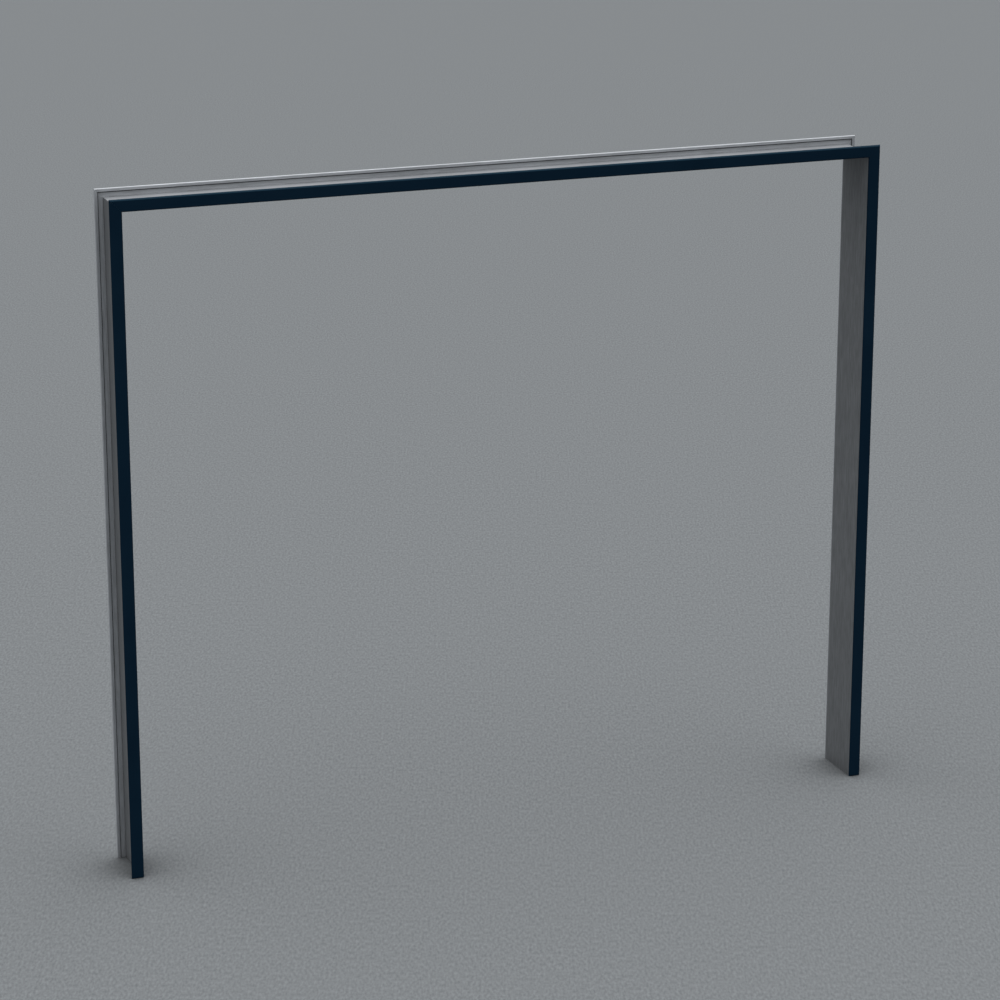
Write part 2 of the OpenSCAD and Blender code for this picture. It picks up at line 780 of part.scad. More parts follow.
// Barrel, flange below the door, and a cam that points to +X; a coin slot underneath
module hatch_lock(x) {
    cam_z0 = z_soffit + sheet + 0.3;
    cam_z1 = cam_z0 + sheet;
    color(zinc) difference() {
        union() {
            rod_z(x, lock_y, z_soffit, z_soffit + 5.5, lock_r);
            rod_z(x, lock_y, z_soffit - 0.6, z_soffit, lock_r + 1);
            box([x, lock_y - cam_r, cam_z0], [x + cam_l, lock_y + cam_r, cam_z1]);
            rod_z(x + cam_l, lock_y, cam_z0, cam_z1, cam_r);
        }
        box_about(x, lock_y, 4.2, 0.8, z_soffit - 1, z_soffit + 1);
    }
}
module hatch_lock_left() hatch_lock(-lock_x);
module hatch_lock_right() hatch_lock(lock_x);

module hinge_brackets() {
    color(zinc) both_sides() difference() {
        union() {
            box([bracket_x, hinge_y - 5, z_soffit + sheet],
                [bracket_x + bracket_t, bracket_back, hinge_top]);
            box([bracket_x + 1, hinge_y + 8, z_soffit + sheet],
                [bracket_x + 14, bracket_back, foot_top]);
        }
        rod_x(bracket_x - over, bracket_x + 3, hinge_y, hinge_z, pin_r + 0.02);
        rod_z(rivet_x, rivet_y, z_soffit, foot_top + over, rivet_r + slip);
    }
}

module hinge_pins() {
    color(zinc) both_sides() {
        rod_x(hatch_end - 9, hatch_end + 4, hinge_y, hinge_z, pin_r);
        rod_x(hatch_end + 3.5, hatch_end + 5, hinge_y, hinge_z, 1.9);
    }
}

module hinge_rivets() {
    color(zinc) both_sides() {
        rod_z(rivet_x, rivet_y, z_soffit, foot_top + 0.5, rivet_r);
        rod_z(rivet_x, rivet_y, foot_top, foot_top + 1, 2.5);
    }
}

// ---------- alarm sounder and lamp ----------

module alarm_sounder() {
    color(black) difference() {
        union() {
            rod_z(sound_x, unit_y, z_soffit + sheet + fit, z_soffit + 7, 15);
            rod_z(sound_x, unit_y, z_soffit + 6.5, z_skin, 10);
        }
        rod_z(sound_x, unit_y, z_soffit + sheet, z_soffit + 4, 9);
    }
}

module alarm_lens() {
    color(lens_orange) {
        rod_z(lamp_x, unit_y, z_soffit, z_soffit + sheet + 0.5, lamp_hole_r - slip);
        rod_z(lamp_x, unit_y, z_soffit + sheet, z_soffit + sheet + 1, 11);
    }
}

// Board with four LEDs below and two posts up to the skin
module alarm_led_board() {
    color(board_green) {
        box_about(lamp_x, unit_y, 11, 11, z_soffit + 4, z_soffit + 5.2);
        for (a = [45:90:315])
            rod_z(lamp_x + 5 * cos(a), unit_y + 5 * sin(a), z_soffit + 3, z_soffit + 4.2, 1.5);
        for (d = [-8, 8]) rod_z(lamp_x + d, unit_y + d, z_soffit + 5, z_skin, 2);
    }
}

// ---------- wiring ----------

harness_u0 = 3;
harness_u1 = harness_u0 + 2;
harness_half_w = 4;
harness_clip_x = [350, 700, 1050];
harness_clip_z = [1950, 1650, 1350];

// A flat cable from the controller along the head and down to the tuning board
module harness(dir) {
    x_start = ctrl_half_l + plug_gap;
    z_end = tune_z + tune_half_l + plug_gap;
    x0 = x_walk + harness_u0;
    x1 = x_walk + harness_u1;
    z0 = z_soffit + harness_u0;
    z1 = z_soffit + harness_u1;
    color(black) side(dir)
        xz_shape(harness_y - harness_half_w, harness_y + harness_half_w) polygon([
            [x_start, z0], [x0 - 3, z0], [x0, z0 - 3], [x0, z_end],
            [x1, z_end], [x1, z1 - 2], [x1 - 2, z1], [x_start, z1]]);
}
module harness_left() harness(-1);
module harness_right() harness(1);

module harness_clips() {
    base_u = harness_u0 - 1;
    slot_u0 = harness_u0 - fit;
    slot_u1 = harness_u1 + fit;
    half_l = 5;
    y0 = harness_y - harness_half_w;
    y1 = harness_y + harness_half_w;
    color(grey) both_sides() {
        for (x = harness_clip_x) difference() {
            box([x - half_l, y0 - 2, z_soffit + base_u], [x + half_l, y1 + 2, z_skin]);
            box([x - half_l - over, y0 - fit, z_soffit + slot_u0],
                [x + half_l + over, y1 + fit, z_soffit + slot_u1]);
        }
        for (z = harness_clip_z) difference() {
            box([x_walk + base_u, y0 - 2, z - half_l], [x_skin, y1 + 2, z + half_l]);
            box([x_walk + slot_u0, y0 - fit, z - half_l - over],
                [x_walk + slot_u1, y1 + fit, z + half_l + over]);
        }
    }
}

module supply_lead() {
    color(black) {
        rod_x(180, lead_x, lead_y, lead_z, lead_r);
        translate([lead_x, lead_y, lead_z]) sphere(r = lead_r);
        rod_z(lead_x, lead_y, lead_z, z_skin + sheet + 8, lead_r);
    }
}

module supply_grommet() {
    lip_t = 1.2;
    lip_r = 6;
    z_out = z_skin + sheet;
    color(black) difference() {
        union() {
            rod_z(lead_x, lead_y, z_skin - lip_t, z_out + lip_t, grommet_r);
            rod_z(lead_x, lead_y, z_skin - lip_t, z_skin, lip_r);
            rod_z(lead_x, lead_y, z_out, z_out + lip_t, lip_r);
        }
        rod_z(lead_x, lead_y, z_skin - 2, z_out + 2, lead_r + slip);
    }
}

// ---------- assembly ----------

front_trim_left();
front_trim_right();
front_trim_head();
rear_trim_left();
rear_trim_right();
rear_trim_head();
web_skin_left();
web_skin_right();
web_skin_head();
web_rails_left();
web_rails_right();
web_rails_head();
liner_left();
liner_right();
liner_head();
liner_tabs_left();
liner_tabs_right();
liner_tabs_head();
corner_key_left();
corner_key_right();
corner_key_screws();
corner_cleats();
corner_cleat_screws();
front_trim_screws();
rear_trim_screws();
foot_block_left();
foot_block_right();
foot_block_screws();
liner_clips_left();
liner_clips_right();
liner_clips_head();
antenna_coil_left();
antenna_coil_right();
coil_clips_left();
coil_clips_right();
tuning_board_left();
tuning_board_right();
controller_board();
board_standoffs();
board_screws();
terminal_block();
isolator_body();
isolator_rocker();
tamper_switch();
tamper_plunger();
test_button();
service_hatch();
hatch_lock_left();
hatch_lock_right();
hinge_brackets();
hinge_pins();
hinge_rivets();
alarm_sounder();
alarm_lens();
alarm_led_board();
harness_left();
harness_right();
harness_clips();
supply_lead();
supply_grommet();
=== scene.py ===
"""A floor-standing frame with a head across its top that holds boards and wiring.

Metres, z up, floor at z = 0. The head runs along x, with x = 0 in the middle of the frame.
The camera looks from the -y side. Boards and wires are laid out in millimetres.
"""

import json
import math
from functools import cached_property

import bmesh
import bpy
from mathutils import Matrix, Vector


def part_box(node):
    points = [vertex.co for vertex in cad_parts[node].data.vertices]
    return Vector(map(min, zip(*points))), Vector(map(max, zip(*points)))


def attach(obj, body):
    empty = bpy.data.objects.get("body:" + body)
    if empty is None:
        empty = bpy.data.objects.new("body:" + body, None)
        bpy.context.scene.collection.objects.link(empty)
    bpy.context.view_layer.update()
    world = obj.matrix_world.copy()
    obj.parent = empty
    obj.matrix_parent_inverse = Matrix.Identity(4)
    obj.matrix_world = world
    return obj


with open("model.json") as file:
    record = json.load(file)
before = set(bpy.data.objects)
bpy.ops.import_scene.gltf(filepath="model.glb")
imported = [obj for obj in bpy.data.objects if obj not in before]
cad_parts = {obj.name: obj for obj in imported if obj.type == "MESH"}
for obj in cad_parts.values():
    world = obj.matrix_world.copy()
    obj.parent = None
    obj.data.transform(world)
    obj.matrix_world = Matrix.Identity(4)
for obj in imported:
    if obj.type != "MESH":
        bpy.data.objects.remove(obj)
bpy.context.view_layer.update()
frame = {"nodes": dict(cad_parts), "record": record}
slot_of = {part["node"]: part["material_slot"] for part in frame["record"]["subparts"]}

MM = 0.001
MATERIALS = {}    # every Surface made below, by name


# ---------------------------------------------------------------- node helpers

class Nodes:
    """A node tree, with short calls for the nodes used here."""

    def __init__(self, tree):
        self.tree = tree
        tree.nodes.clear()

    def add(self, kind):
        return self.tree.nodes.new("ShaderNode" + kind)

    def put(self, socket, value):
        if isinstance(value, bpy.types.NodeSocket):
            self.tree.links.new(value, socket)
        else:
            socket.default_value = value

    def math(self, operation, first, second=None):
        node = self.add("Math")
        node.operation = operation
        self.put(node.inputs[0], first)
        if second is not None:
            self.put(node.inputs[1], second)
        return node.outputs[0]

    def vector(self, operation, first, second=None):
        node = self.add("VectorMath")
        node.operation = operation
        self.put(node.inputs[0], first)
        if second is not None:
            self.put(node.inputs[1], second)
        return node.outputs["Value" if operation == "DOT_PRODUCT" else "Vector"]

    def axis(self, vector, letter):
        node = self.add("SeparateXYZ")
        self.put(node.inputs[0], vector)
        return node.outputs["xyz".index(letter)]

    def ramp(self, factor, *stops):
        """A colour ramp; each stop is (position, colour)."""
        node = self.add("ValToRGB")
        self.put(node.inputs[0], factor)
        elements = node.color_ramp.elements
        while len(elements) < len(stops):
            elements.new(0.5)
        for element, (position, color) in zip(elements, stops):
            element.position = position
            element.color = (*color, 1)
        return node.outputs[0]

    def remap(self, value, to, source=(0.3, 0.7)):
        node = self.add("MapRange")
        for socket, setting in zip(node.inputs, (value, *source, *to)):
            self.put(socket, setting)
        return node.outputs[0]

    def mix(self, factor, first, second, mode="MIX"):
        node = self.add("Mix")
        node.data_type = "RGBA"
        node.blend_type = mode
        self.put(node.inputs[0], factor)
        for index, color in ((6, first), (7, second)):    # the colour sockets A and B
            self.put(node.inputs[index], (*color, 1) if isinstance(color, tuple) else color)
        return node.outputs[2]


class Surface(Nodes):
    """A material around one Principled shader, in object coordinates."""

    def __init__(self, name):
        material = bpy.data.materials.new(name)
        material.use_nodes = True
        super().__init__(material.node_tree)
        self.output = self.add("OutputMaterial").inputs["Surface"]
        self.shader = self.add("BsdfPrincipled")
        self.put(self.output, self.shader.outputs["BSDF"])
        MATERIALS[name] = material

    @cached_property
    def coord(self):
        return self.add("TexCoord").outputs["Object"]

    @cached_property
    def geometry(self):
        return self.add("NewGeometry").outputs

    def set(self, **inputs):
        for name, value in inputs.items():
            self.put(self.shader.inputs[name.replace("_", " ")], value)

    def noise(self, scale, stretch=(1, 1, 1), detail=2.0, rough=0.5, turn=0.0):
        vector = self.coord
        if turn:
            mapping = self.add("Mapping")
            mapping.vector_type = "TEXTURE"
            mapping.inputs["Rotation"].default_value = (0.0, 0.0, turn)
            self.put(mapping.inputs["Vector"], vector)
            vector = mapping.outputs[0]
        node = self.add("TexNoise")
        self.put(node.inputs["Vector"], self.vector("MULTIPLY", vector, stretch))
        node.inputs["Scale"].default_value = scale
        node.inputs["Detail"].default_value = detail
        node.inputs["Roughness"].default_value = rough
        return node.outputs[0]

    def bump(self, height, strength, distance, normal=None):
        node = self.add("Bump")
        node.inputs["Strength"].default_value = strength
        node.inputs["Distance"].default_value = distance
        self.put(node.inputs["Height"], height)
        if normal is not None:
            self.put(node.inputs["Normal"], normal)
        return node.outputs[0]

    def edges(self, radius):
        """1 on a convex or concave edge, 0 on a flat face, within radius of the edge."""
        node = self.add("Bevel")
        node.samples = 6
        node.inputs["Radius"].default_value = radius
        agreement = self.vector("DOT_PRODUCT", node.outputs[0], self.geometry["Normal"])
        return self.remap(agreement, source=(0.98, 0.84), to=(0.0, 1.0))

    def cover(self, distance, strength, source, tilt=0.0):
        """Near 0 in the open, up to strength in grooves; tilt looks for cover overhead."""
        node = self.add("AmbientOcclusion")
        node.samples = 6
        node.inputs["Distance"].default_value = distance
        if tilt:
            tilted = self.vector("ADD", self.geometry["Normal"], (0.0, 0.0, tilt))
            self.put(node.inputs["Normal"], self.vector("NORMALIZE", tilted))
        openness = self.remap(node.outputs["AO"], source=source, to=(1.0 - strength, 1.0))
        return self.math("SUBTRACT", 1.0, openness)


def scaled(color, factor):
    return tuple(channel * factor for channel in color)


# ---------------------------------------------------------------- materials

WHITE = (1.0, 1.0, 1.0)
COOL = (0.965, 1.0, 1.045)


def paint(name, dark, light, worn, painted_top_highlight, rough, specular):
    """Satin powder coat: orange peel, mottling, rubbed edges, and a painted highlight: faces
    that point up are painted paler, standing in for light from above.
    """
    mat = Surface(name)
    mottle = mat.noise(scale=5.0, detail=3)
    speck = mat.noise(scale=1800.0, detail=1)
    color = mat.ramp(mottle, (0.3, dark), (0.72, light))
    color = mat.mix(mat.remap(speck, source=(0.55, 0.8), to=(0.0, 0.35)), color,
                    scaled(light, 1.5))
    patches = mat.remap(mat.noise(scale=60.0, detail=4), source=(0.38, 0.7), to=(0.15, 1.0))
    rub = mat.math("MULTIPLY", mat.edges(radius=0.0009), patches)
    color = mat.mix(mat.math("MULTIPLY", rub, 0.55), color, worn)
    # painted highlight: paler as the face points up, strongest on faces just tilted up such as
    # the rounded upper edges, standing in for light from above
    top_highlight_mask = mat.ramp(mat.axis(mat.geometry["Normal"], "z"),
                       (0.01, (0, 0, 0)), (0.1, WHITE),
                       (0.5, scaled(WHITE, 0.85)), (1.0, scaled(WHITE, 0.4)))
    top_highlight_mask = mat.math("MULTIPLY", top_highlight_mask,
                       mat.remap(mat.noise(scale=130.0, detail=3), to=(0.85, 1.0)))
    color = mat.mix(top_highlight_mask, color, painted_top_highlight)
    uneven = mat.remap(mat.noise(scale=35.0, detail=4), to=(rough - 0.05, rough + 0.06))
    peel = mat.bump(mat.noise(scale=620.0, detail=2), strength=0.22, distance=0.00006)
    fine = mat.noise(scale=2600.0, detail=1)
    mat.set(Base_Color=color, Metallic=0.0, Specular_IOR_Level=specular,
            Roughness=mat.math("ADD", uneven, mat.math("MULTIPLY", rub, -0.08)),
            Normal=mat.bump(fine, strength=0.12, distance=0.00002, normal=peel))


def brushed(name, grain, base, tint=COOL, rough=0.45, anisotropy=0.6, corner_shade=0.3, reach=0.006,
            metallic=0.5, corner=(0.12, 0.46), mottle=0.1, shade_under_head=False, ledge=0.0):
    """Brushed or rolled sheet with its grain along x, y or z, and worn bright edges.

    corner_shade, reach and corner are the strength, distance and occlusion range of the
    painted shade in grooves and corners; shade_under_head paints shade on the upper part
    that the head covers; ledge is painted shade under an overhang.
    """
    def stretched(factor):
        return tuple(factor if letter == grain else 1.0 for letter in "xyz")

    mat = Surface(name)
    streak = 0.1    # contrast of the lines
    fine = mat.noise(scale=1900.0, stretch=stretched(0.004), detail=3, rough=0.65)
    medium = mat.noise(scale=420.0, stretch=stretched(0.02), detail=3, rough=0.6)
    cloud = mat.noise(scale=4.0, detail=3)
    color = mat.ramp(fine, (0.3, scaled(tint, base * (1 - streak))),
                     (0.7, scaled(tint, base * (1 + streak))))
    color = mat.mix(mat.remap(medium, source=(0.35, 0.65), to=(0.0, 0.6)), color,
                    scaled(tint, base * (1 - 1.4 * streak)))
    color = mat.mix(mat.remap(cloud, source=(0.35, 0.7), to=(0.0, 0.35)), color,
                    scaled(tint, base * (1 + 1.1 * streak)))
    soft = mat.noise(scale=210.0, stretch=stretched(0.09), detail=3, rough=0.65)
    color = mat.mix(mat.remap(soft, source=(0.36, 0.64), to=(0.0, 1.0)),
                    mat.mix(1.0, color, scaled(WHITE, 1 - mottle), "MULTIPLY"),
                    mat.mix(1.0, color, scaled(WHITE, 1 + mottle), "MULTIPLY"))
    patches = mat.remap(mat.noise(scale=90.0, detail=3), source=(0.35, 0.65), to=(0.3, 1.0))
    wear = mat.math("MULTIPLY", mat.edges(radius=0.0006), patches)
    color = mat.mix(mat.math("MULTIPLY", wear, 0.7), color, scaled(tint, base * 1.35))
    uneven = mat.math("ADD", mat.remap(fine, to=(rough - 0.05, rough + 0.05)),
                      mat.remap(cloud, to=(-0.03, 0.04)))
    along = tuple(float(letter == grain) for letter in "xyz")
    across = mat.vector("CROSS_PRODUCT", mat.geometry["Normal"], along)
    # painted shade: darker in grooves and corners, standing in for the shade there
    color = mat.mix(mat.cover(distance=reach, strength=corner_shade, source=corner), color,
                    scaled(WHITE, 0.012))
    if ledge:
        # painted shade: darker under an overhang, where overhead light is blocked
        shade = mat.cover(distance=0.013, strength=ledge, source=(0.2, 0.76), tilt=1.5)
        color = mat.mix(shade, color, scaled(WHITE, 0.02))
    if shade_under_head:
        # painted shade: the upper part of the liner darkened where the head shades it from the
        # light above
        high = mat.remap(mat.axis(mat.coord, "z"), source=(1.2, 1.5), to=(0.0, 0.95))
        covered = mat.cover(distance=0.45, strength=1.0, source=(0.0, 1.0))
        color = mat.mix(mat.math("MULTIPLY", covered, high), color, (0.0, 0.0, 0.0))
    lines = mat.bump(fine, strength=0.16, distance=0.00003)
    mat.set(Base_Color=color, Metallic=metallic, Anisotropic=anisotropy,
            Roughness=mat.math("SUBTRACT", uneven, mat.math("MULTIPLY", wear, 0.08)),
            Tangent=mat.vector("NORMALIZE", across), Specular_IOR_Level=0.3,
            Normal=mat.bump(medium, strength=0.06, distance=0.00005, normal=lines))


def zinc():
    """Zinc plate: a pale spangle with faint blue and yellow."""
    mat = Surface("zinc_steel")
    small = mat.noise(scale=900.0, detail=2)
    color = mat.ramp(mat.noise(scale=160.0, detail=3), (0.3, (0.46, 0.47, 0.50)),
                     (0.55, (0.58, 0.57, 0.53)), (0.75, (0.50, 0.52, 0.55)))
    color = mat.mix(mat.math("MULTIPLY", mat.edges(radius=0.0004), 0.6), color,
                    (0.75, 0.75, 0.74))
    mat.set(Base_Color=color, Metallic=1.0, Roughness=mat.remap(small, to=(0.26, 0.42)),
            Normal=mat.bump(small, strength=0.15, distance=0.00003))


def plastic(name, base, rough, texture=0.12, glossy=False):
    """Moulded plastic with a fine spark-eroded texture."""
    mat = Surface(name)
    grain = mat.noise(scale=900.0 if glossy else 2400.0, detail=2)
    color = mat.ramp(mat.noise(scale=40.0, detail=3),
                     (0.3, scaled(base, 0.85)), (0.7, scaled(base, 1.18)))
    color = mat.mix(mat.math("MULTIPLY", mat.edges(radius=0.0005), 0.5), color,
                    tuple(min(1, channel * 1.6 + 0.01) for channel in base))
    mat.set(Base_Color=color, Specular_IOR_Level=0.45,
            Roughness=mat.remap(grain, to=(rough - 0.06, rough + 0.06)),
            Normal=mat.bump(grain, strength=texture, distance=0.00003))


def laminate():
    """Circuit board: solder mask over copper tracks."""
    mat = Surface("board_laminate")
    brick = mat.add("TexBrick")
    mat.put(brick.inputs["Vector"], mat.coord)
    for socket, value in (("Scale", 260.0), ("Mortar Size", 0.06), ("Color1", (1, 1, 1, 1)),
                          ("Color2", (0.6, 0.6, 0.6, 1)), ("Mortar", (0, 0, 0, 1))):
        brick.inputs[socket].default_value = value
    broken = mat.remap(mat.noise(scale=260.0, detail=0), source=(0.45, 0.55), to=(0.2, 1.0))
    tracks = mat.math("MULTIPLY", brick.outputs["Fac"], broken)
    color = mat.mix(tracks, (0.006, 0.085, 0.035), (0.02, 0.17, 0.07))
    color = mat.mix(mat.remap(mat.noise(scale=60.0, detail=3), to=(0.0, 0.3)), color,
                    (0.004, 0.06, 0.03))
    mat.set(Base_Color=color, Roughness=mat.remap(tracks, source=(0, 1), to=(0.34, 0.24)),
            Specular_IOR_Level=0.5, Normal=mat.bump(tracks, strength=0.3, distance=0.00003))


def copper():
    """Enamelled winding: fine turns along the band."""
    mat = Surface("coil_copper")
    turns = mat.noise(scale=1500.0, stretch=(1.0, 0.05, 0.05), detail=1)
    color = mat.ramp(mat.noise(scale=30.0, detail=3),
                     (0.3, (0.42, 0.14, 0.05)), (0.7, (0.58, 0.24, 0.09)))
    color = mat.mix(mat.remap(turns, source=(0.4, 0.6), to=(0.0, 0.4)), color,
                    (0.22, 0.07, 0.03))
    mat.set(Base_Color=color, Metallic=0.9, Roughness=0.32, Coat_Weight=0.5,
            Coat_Roughness=0.15, Normal=mat.bump(turns, strength=0.4, distance=0.0001))


def lens():
    """Translucent moulded lens, with rings about x = -0.42, y = -0.02."""
    mat = Surface("amber_lens")
    cells = mat.noise(scale=500.0, detail=1)
    x = mat.math("ADD", mat.axis(mat.coord, "x"), 0.42)
    y = mat.math("ADD", mat.axis(mat.coord, "y"), 0.02)
    squares = mat.math("ADD", mat.math("MULTIPLY", x, x), mat.math("MULTIPLY", y, y))
    rings_per_metre = 900.0
    ring = mat.math("FRACT", mat.math("MULTIPLY", mat.math("SQRT", squares), rings_per_metre))
    color = mat.ramp(mat.noise(scale=120.0, detail=2),
                     (0.3, (0.75, 0.17, 0.02)), (0.7, (0.95, 0.30, 0.05)))
    # painted shade: darker at the foot of each ring's step
    color = mat.mix(mat.remap(ring, source=(0.0, 0.25), to=(0.5, 0.0)), color,
                    (0.42, 0.07, 0.01))
    steps = mat.bump(ring, strength=0.7, distance=0.0004)
    mat.set(Base_Color=color, Roughness=mat.remap(cells, to=(0.10, 0.2)),
            Transmission_Weight=0.55, IOR=1.5,
            Normal=mat.bump(cells, strength=0.15, distance=0.00006, normal=steps))


def rubber():
    """Cable sheath and grommet."""
    mat = Surface("cable_rubber")
    grain = mat.noise(scale=1200.0, detail=2)
    color = mat.ramp(mat.noise(scale=50.0, detail=3),
                     (0.3, (0.018, 0.018, 0.019)), (0.7, (0.034, 0.034, 0.036)))
    mat.set(Base_Color=color, Roughness=mat.remap(grain, to=(0.5, 0.68)),
            Specular_IOR_Level=0.35, Normal=mat.bump(grain, strength=0.2, distance=0.00004))


def ribbon():
    """Flat multi-core cable: parallel cores across y, marked red beyond mark_y."""
    mat = Surface("ribbon_cable")
    cores_per_metre, mark_y = 1000.0, 0.0231
    y = mat.axis(mat.coord, "y")
    core = mat.math("FRACT", mat.math("MULTIPLY", y, cores_per_metre))
    ridge = mat.math("SINE", mat.math("MULTIPLY", core, math.pi))
    color = mat.mix(mat.remap(mat.noise(scale=40.0, detail=3), to=(0.0, 1.0)),
                    (0.085, 0.087, 0.09), (0.125, 0.127, 0.13))
    mark = mat.math("MULTIPLY", mat.math("GREATER_THAN", y, mark_y), 0.9)
    color = mat.mix(mark, color, (0.30, 0.015, 0.012))
    # painted shade: darker in the valleys between the cores
    color = mat.mix(mat.remap(ridge, source=(0.0, 0.35), to=(0.75, 0.0)), color,
                    (0.01, 0.01, 0.01))
    mat.set(Base_Color=color, Roughness=0.46, Specular_IOR_Level=0.4,
            Normal=mat.bump(ridge, strength=0.8, distance=0.0004))


def sleeve(name, base):
    """Insulation of one wire: smooth, slightly uneven colour."""
    mat = Surface(name)
    uneven = mat.noise(scale=300.0, detail=2)
    color = mat.ramp(uneven, (0.3, scaled(base, 0.82)), (0.7, scaled(base, 1.12)))
    mat.set(Base_Color=color, Roughness=mat.remap(uneven, to=(0.37, 0.48)),
            Specular_IOR_Level=0.4, Normal=mat.bump(uneven, strength=0.08, distance=0.00005))


def earth():
    """Green and yellow insulation, in bands along x."""
    mat = Surface("wire_earth")
    wave = mat.math("SINE", mat.math("MULTIPLY", mat.axis(mat.coord, "x"), 700.0))
    color = mat.mix(mat.math("GREATER_THAN", wave, 0.1), (0.03, 0.20, 0.03),
                    (0.62, 0.50, 0.02))
    color = mat.mix(mat.remap(mat.noise(scale=300.0, detail=2), to=(0.0, 0.3)), color,
                    (0.05, 0.12, 0.02))
    mat.set(Base_Color=color, Roughness=0.42, Specular_IOR_Level=0.4,
            Normal=mat.bump(mat.noise(scale=500.0), strength=0.06, distance=0.00005))


def metal(name, base, rough):
    """Plain bright metal with a fine random grain."""
    mat = Surface(name)
    grain = mat.noise(scale=1600.0, detail=2)
    color = mat.ramp(mat.noise(scale=90.0, detail=3),
                     (0.3, scaled(WHITE, base * 0.86)), (0.7, scaled(WHITE, base * 1.1)))
    mat.set(Base_Color=color, Metallic=1.0,
            Roughness=mat.remap(grain, to=(rough - 0.06, rough + 0.08)),
            Normal=mat.bump(grain, strength=0.12, distance=0.00003))


ribbon()
plastic("chip_moulding", base=(0.012, 0.012, 0.013), rough=0.42, texture=0.06)
plastic("socket_moulding", base=(0.62, 0.60, 0.52), rough=0.4, texture=0.05)
plastic("ferrite_core", base=(0.055, 0.055, 0.06), rough=0.62, texture=0.3)
plastic("winding_tape", base=(0.55, 0.36, 0.03), rough=0.3, texture=0.05, glossy=True)
plastic("ceramic_chip", base=(0.34, 0.22, 0.11), rough=0.4, texture=0.05)
metal("capacitor_can", base=0.72, rough=0.3)
metal("solder_joint", base=0.62, rough=0.25)
plastic("led_moulding", base=(0.75, 0.62, 0.38), rough=0.2, texture=0.02, glossy=True)
sleeve("wire_brown", base=(0.10, 0.032, 0.012))
sleeve("wire_blue", base=(0.012, 0.06, 0.28))
earth()
sleeve("wire_red", base=(0.42, 0.012, 0.01))
sleeve("wire_black", base=(0.012, 0.012, 0.013))
# the paler top colour below is a painted highlight on the upward faces, standing in for light
# from above
paint("navy_paint", dark=(0.0029, 0.0142, 0.0298), light=(0.0043, 0.0182, 0.0362),
      worn=(0.016, 0.026, 0.038), painted_top_highlight=(0.0165, 0.048, 0.077), rough=0.34, specular=0.05)
# the corner settings below paint shade in the rear trim's groove and, on the legs, along the
# web's corner with the rear trim
REAR = dict(corner_shade=0.95, reach=0.008, metallic=0.65, corner=(0.14, 0.52))
# painted light: each metal's z copy (legs) and x copy (head) differ in base brightness to stand
# in for how light falls on them; the web on top of the head is painted much lighter than the
# same web on the legs, and the rear trim on the legs a little lighter than on the head
brushed("rear_aluminium_z", "z", base=0.6, **REAR)
brushed("rear_aluminium_x", "x", base=0.56, ledge=0.55, **REAR)
brushed("web_aluminium_z", "z", base=0.234, corner_shade=0.6, reach=0.011, corner=(0.4, 0.85))
brushed("web_aluminium_x", "x", base=0.335)
brushed("liner_steel_z", "z", base=0.215, metallic=0.45, mottle=0.17, shade_under_head=True)
brushed("liner_steel_x", "x", base=0.205, metallic=0.45, mottle=0.17)
brushed("mill_aluminium_z", "z", base=0.55, tint=WHITE, rough=0.34, anisotropy=0.3,
        corner_shade=0.5, metallic=0.6)
zinc()
plastic("black_plastic", base=(0.016, 0.016, 0.018), rough=0.5)
plastic("grey_plastic", base=(0.22, 0.23, 0.24), rough=0.5)
copper()
laminate()
plastic("red_plastic", base=(0.48, 0.02, 0.014), rough=0.22, texture=0.04, glossy=True)
plastic("white_plastic", base=(0.72, 0.72, 0.68), rough=0.42)
lens()
rubber()


def finish_of(name):
    """The material of a CAD piece; sheet metal has its grain along x or z."""
    if name.startswith("harness_") and name != "harness_clips":
        return MATERIALS["ribbon_cable"]
    finish = slot_of[name]
    if finish in ("rear_aluminium", "web_aluminium", "liner_steel"):
        finish += "_x" if name.endswith("_head") or name == "service_hatch" else "_z"
    elif finish == "mill_aluminium":
        finish += "_z"
    return MATERIALS[finish]


# ---------------------------------------------------------------- CAD pieces

BOARD_THICK = 1.6          # mm
FACE_TOLERANCE = 0.03      # mm
TUNING_MID_Z = 1060        # mm, height the tuning board zones are measured from
LED_TOP = 0.00395          # m above the soffit: below this, the LED mouldings
LED_BOARD_TOP = 0.0053     # m above the soffit: beyond this, grey plastic
EDGE_ROUNDING = {"navy_paint": 0.0003, "rear_aluminium": 0.00025, "web_aluminium": 0.0002,
                 "liner_steel": 0.0002, "mill_aluminium": 0.0003, "board_laminate": 0.00012,
                 "amber_lens": 0.0002}
OTHER_ROUNDING = 0.00015

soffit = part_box("liner_head")[0].z
board_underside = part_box("controller_board")[1].z - BOARD_THICK * MM
tuning_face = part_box("tuning_board_right")[1].x * 1000 - BOARD_THICK    # mm, faces inward

INF = math.inf
ANY = (-INF, INF)
# finish, then the x, y and z ranges in mm; the first zone that holds the point wins.
# Here z is the distance below the underside of the board.
CONTROLLER_ZONES = (
    ("socket_moulding", (139.5, INF), ANY, ANY),
    ("socket_moulding", (-INF, -139.5), ANY, ANY),
    ("chip_moulding", (-17, 13), (-15, 15), ANY),
    ("winding_tape", (79, INF), (-24, 4), (0.4, 2.9)),
    ("ferrite_core", (79, INF), ANY, ANY),
    ("capacitor_can", (-INF, -45), (15, INF), ANY),
    ("chip_moulding", (-INF, -45), ANY, ANY),
    ("ceramic_chip", (25, 59), (-INF, -13), ANY),
    ("capacitor_can", (56, 64), ANY, (2.4, INF)),
    ("black_plastic", (56, 64), ANY, ANY),
    ("board_laminate", ANY, ANY, ANY),
)
